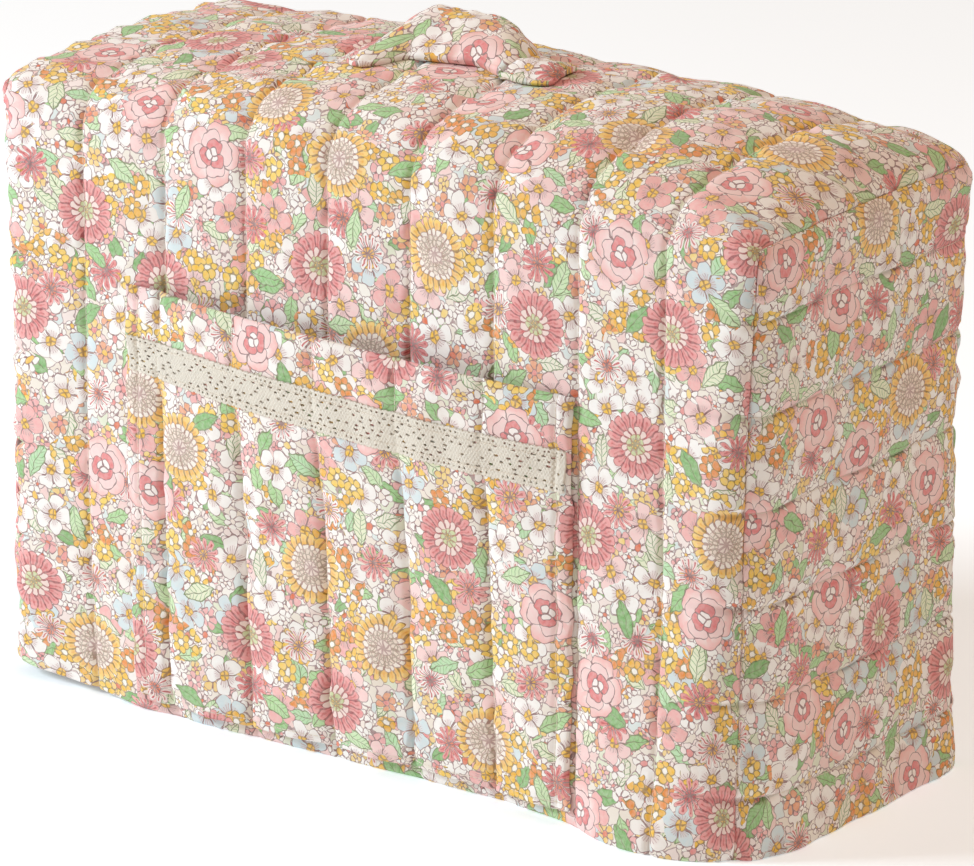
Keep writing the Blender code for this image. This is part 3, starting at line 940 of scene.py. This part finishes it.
def handle_spot(s, t, outside):
    """The strap's padded upper face and its underside, which sags a little."""
    under, way_out = laid(handle_under, s, t)
    to_end = HANDLE_LENGTH / 2 - abs(s)
    to_edge = np.minimum(HANDLE_WIDTH / 2 - abs(t), to_end)
    full = (1 - (2 * t / HANDLE_WIDTH) ** 2) * rolled(to_end, HANDLE_END)
    turned = HANDLE_TURNED * (1 - rolled(to_edge, HANDLE_TURNED_REACH))
    relief = 0.0006 * waves(91, s, t, 0.016) * full
    relief += 0.0005 * waves(92, s, t * 0.2, 0.009) * (1 - full)
    from_stitching = (to_edge - HANDLE_STITCHING) / HANDLE_STITCH_REACH
    relief -= HANDLE_STITCH_DENT * np.exp(-from_stitching ** 2)
    face = HANDLE_EDGE + HANDLE_PADDING * full + relief - turned
    sag = HANDLE_SAG * handle_arch(s) * rolled(HANDLE_WIDTH / 2 - abs(t), HANDLE_SAG_EDGE)
    sag = sag * (1 + HANDLE_SAG_TILT * np.clip(s / 0.03, -1, 1))
    return under + way_out * np.where(outside, face, turned - sag)[:, None]


handle = sheet("handle_strap", between(-HANDLE_LENGTH / 2, HANDLE_LENGTH / 2, 0.0016),
               between(-HANDLE_WIDTH / 2, HANDLE_WIDTH / 2, 0.0014), handle_spot, COTTON,
               (2.31, 0.63))
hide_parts("handle")


# Stitching. Cream cotton thread in every quilting line, round the pocket, along both sides of
# the lace and round the handle. Each stitch is a short thread that dips at both ends.

STITCH_PITCH = 0.0030
STITCH_LENGTH = 0.0023
STITCH_LIFT = 0.00005
STITCH_ARCH = 0.00025
THREAD = 0.00017
HEM_CLEAR = 0.004
BEHIND_POCKET = 0.03
POCKET_TOPSTITCHING = 0.2065
LACE_STITCHING = 0.64
HANDLE_FOOT_STITCHING = 0.010


def cotton_thread():
    """Cream thread with painted shade, laid as random noise, for where its twist turns under."""
    made, shader, thread = new_material("cotton_thread", roughness=0.8, sheen=0.1)
    place = thread.node("ShaderNodeTexCoord", None, None, "Object")
    painted_twist_shade = thread.node("ShaderNodeTexNoise", None, {"Vector": place, "Scale": 900.0})
    # Painted shade: the noise darkens the thread where its twist would turn under.
    colour = painted_twist_shade.over(dye("E2D2BE"), dye("F6ECDD"))
    thread.tree.links.new(colour.socket, shader.inputs["Base Color"])
    return made


COTTON_THREAD = cotton_thread()


def stitches(name, seams):
    """Short threads along seams. A seam is a function from ways along it to spots, and a length."""
    threads = bpy.data.curves.new(name, "CURVE")
    threads.dimensions = "3D"
    threads.bevel_depth = THREAD
    threads.bevel_resolution = 1
    threads.use_fill_caps = True
    for seam, length in seams:
        starts = np.arange(STITCH_PITCH, length - STITCH_PITCH, STITCH_PITCH)
        rows = [seam(starts + k * STITCH_LENGTH,
                     np.full_like(starts, STITCH_LIFT + STITCH_ARCH * rise))
                for k, rise in ((0.0, 0.0), (0.5, 1.0), (1.0, 0.0))]
        for spots in zip(*rows):
            spline = threads.splines.new("POLY")
            spline.points.add(2)
            for point, spot in zip(spline.points, spots):
                point.co = (*spot, 1)
    shape = bpy.data.objects.new(name + "_line", threads)
    bpy.context.scene.collection.objects.link(shape)
    shaped = shape.evaluated_get(bpy.context.evaluated_depsgraph_get())
    mesh = bpy.data.meshes.new_from_object(shaped)
    bpy.data.objects.remove(shape, do_unlink=True)
    mesh.shade_smooth()
    mesh.materials.clear()
    mesh.materials.append(COTTON_THREAD)
    made = bpy.data.objects.new(name, mesh)
    bpy.context.scene.collection.objects.link(made)
    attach(made, "root")
    return made


def body_seam(x, start, end):
    """A quilting line of the body from one run to another."""
    def seam(ways, proud):
        run = start + ways
        base, way_out = laid(body_place, np.full_like(run, x), run)
        return base + way_out * (body_relief(np.full_like(run, x), run) + proud)[:, None]
    return seam, end - start


def end_seam(side, seed, z):
    """A level quilting line across an end."""
    def seam(ways, proud):
        y, up = ways - DEPTH / 2, np.full_like(ways, z)
        base, way_out = laid(end_place(side), y, up)
        return base + way_out * (end_relief(seed, y, up) + proud)[:, None]
    return seam, DEPTH


def pocket_seam(x_of, z_of, length, proud_by=0.0):
    """A line on the pocket's face, or proud of it, where the ways give x and z."""
    def seam(ways, proud):
        x, z = x_of(ways), z_of(ways)
        return pocket_at(x, z, np.full(x.shape, True), proud + proud_by)
    return seam, length


def handle_seam(s_of, t_of, length):
    """A line on the strap, where the ways give the place along it and across it."""
    def seam(ways, proud):
        s, t = s_of(ways), t_of(ways)
        _, way_out = laid(handle_under, s, t)
        return handle_spot(s, t, np.full(s.shape, True)) + way_out * proud[:, None]
    return seam, length


def mouth_at(x):
    """Height of the pocket's mouth over one place."""
    return float(curve(MOUTH_HEIGHTS, np.array([x]))[0])


quilting = []
for x in body_lines:
    covered = POCKET_LEFT < x < POCKET_RIGHT
    start = mouth_at(x) - BEHIND_POCKET if covered else HEM_CLEAR
    quilting.append(body_seam(x, start, HEM_TO_HEM - HEM_CLEAR))
stitches("quilting_thread_body", quilting)
for end_name, side, seed in (("right", 1, 31), ("left", -1, 51)):
    level = [end_seam(side, seed, z) for z in end_lines]
    stitches("quilting_thread_" + end_name, level)

upright = [(x, mouth_at(x) - POCKET_FOOT) for x in pocket_lines]
upright += [(x, POCKET_TOPSTITCHING) for x in topstitched]
pocket_seams = [pocket_seam(lambda w, x=x: np.full_like(w, x), lambda w: POCKET_FOOT + w, length)
                for x, length in upright]
pocket_seams.append(pocket_seam(lambda w: POCKET_LEFT + w,
                                lambda w: np.full_like(w, POCKET_FOOT + HEM_CLEAR),
                                POCKET_RIGHT - POCKET_LEFT))
stitches("pocket_thread", pocket_seams)
lace_seams = [pocket_seam(lambda w: lace_left + w,
                          lambda w, a=a: curve(LACE_HEIGHTS, lace_left + w) + a * LACE_WIDTH / 2,
                          lace_length, LACE_THICKNESS + LACE_GAP)
              for a in (-LACE_STITCHING, LACE_STITCHING)]
stitches("lace_thread", lace_seams)
strap, half = HANDLE_LENGTH / 2 - HANDLE_STITCHING, HANDLE_WIDTH / 2 - HANDLE_STITCHING
handle_seams = [handle_seam(lambda w: w - strap, lambda w, t=t: np.full_like(w, t), 2 * strap)
                for t in (-half, half)]
handle_seams += [handle_seam(lambda w, s=s: np.full_like(w, s), lambda w: w - half, 2 * half)
                 for s in (-strap, -strap + HANDLE_FOOT_STITCHING,
                           strap - HANDLE_FOOT_STITCHING, strap)]
stitches("handle_thread", handle_seams)


# Floor, light and camera. A plain white floor, soft daylight from the front left, a weaker lamp
# above and the photograph's view.

AZIMUTH = 0.632335782
ELEVATION = 0.326217701
DISTANCE = 4.70935
TARGET = Vector((0.008746, 0.0028, 0.14993))
SENSOR_WIDTH = 36
FOCAL = 9739.85 / 974 * SENSOR_WIDTH

floor_mesh = bpy.data.meshes.new("floor")
bm = bmesh.new()
bmesh.ops.create_grid(bm, x_segments=1, y_segments=1, size=30)
bm.to_mesh(floor_mesh)
bm.free()
floor = bpy.data.objects.new("floor", floor_mesh)
bpy.context.scene.collection.objects.link(floor)
floor_paint = bpy.data.materials.new("floor_paint")
floor_paint.use_nodes = True
floor_look = floor_paint.node_tree.nodes["Principled BSDF"].inputs
floor_look["Base Color"].default_value = (0.93, 0.955, 0.97, 1)
floor_look["Emission Color"].default_value = (0.84, 0.94, 1.0, 1)
floor_look["Emission Strength"].default_value = 0.30
floor_look["Roughness"].default_value = 0.9
floor_mesh.materials.append(floor_paint)

world = bpy.data.worlds.new("studio")
world.use_nodes = True
sky = world.node_tree.nodes["Background"].inputs
sky["Color"].default_value = (1.0, 0.715, 0.505, 1)
sky["Strength"].default_value = 0.277
bpy.context.scene.world = world


def lamp(name, spot, aim, size, watts, colour):
    """A square lamp at a spot, turned towards its aim."""
    data = bpy.data.lights.new(name, "AREA")
    data.size = size
    data.energy = watts
    data.color = colour
    made = bpy.data.objects.new(name, data)
    made.location = spot
    made.rotation_euler = (Vector(aim) - Vector(spot)).to_track_quat("-Z", "Y").to_euler()
    bpy.context.scene.collection.objects.link(made)


lamp("daylight", (-2.3, -1.78, 1.7), (0, 0, 0.15), 1.0, 104, (0.79, 0.90, 1.0))
lamp("overhead", (1.3, 0.5, 3.2), (0, 0, 0.15), 1.4, 40, (1.0, 0.86, 0.76))

camera = bpy.data.objects.new("camera", bpy.data.cameras.new("camera"))
camera.data.lens = FOCAL
camera.data.sensor_width = SENSOR_WIDTH
camera.data.clip_end = 100
away = Vector((math.sin(AZIMUTH) * math.cos(ELEVATION), -math.cos(AZIMUTH) * math.cos(ELEVATION),
               math.sin(ELEVATION)))
camera.location = TARGET + away * DISTANCE
camera.rotation_euler = away.to_track_quat("Z", "Y").to_euler()
bpy.context.scene.collection.objects.link(camera)
bpy.context.scene.camera = camera
bpy.context.scene.view_settings.view_transform = "Standard"
